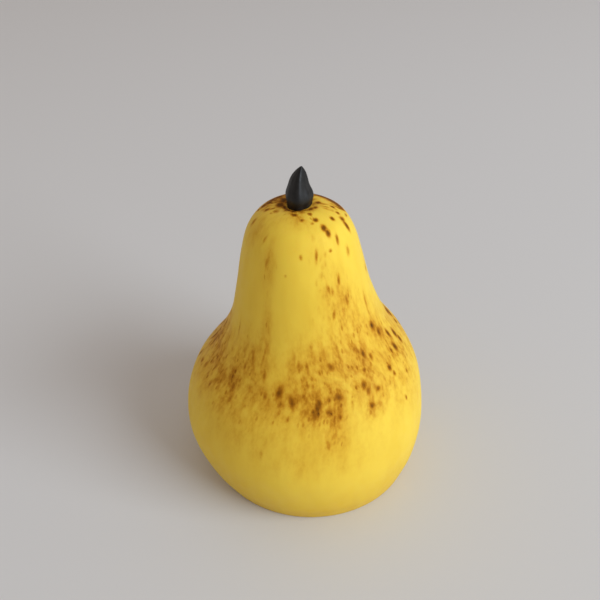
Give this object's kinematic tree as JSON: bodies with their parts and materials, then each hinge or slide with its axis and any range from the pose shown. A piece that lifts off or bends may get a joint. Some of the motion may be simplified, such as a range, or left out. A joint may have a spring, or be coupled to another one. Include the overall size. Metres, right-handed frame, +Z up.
{
  "type": "confectionery pear",
  "caption": "Moulded confectionery pear with a speckled yellow coat and a dark pointed stem, standing upright on its own flat foot.",
  "frame": {"origin": "centre of the flat foot that the pear stands on", "axes": "+Z up from the foot towards the stem, -Y towards the side seen from the front, +X to that side's right"},
  "size_m": [0.08, 0.08, 0.1068],
  "materials": {
    "speckled_coat": "soft satin yellow coat with red-brown speckle in vertical dashes",
    "dark_paste": "satin near-black paste"
  },
  "bodies": {
    "root": {"pear_body": "speckled_coat", "stem": "dark_paste"}
  },
  "joints": []
}
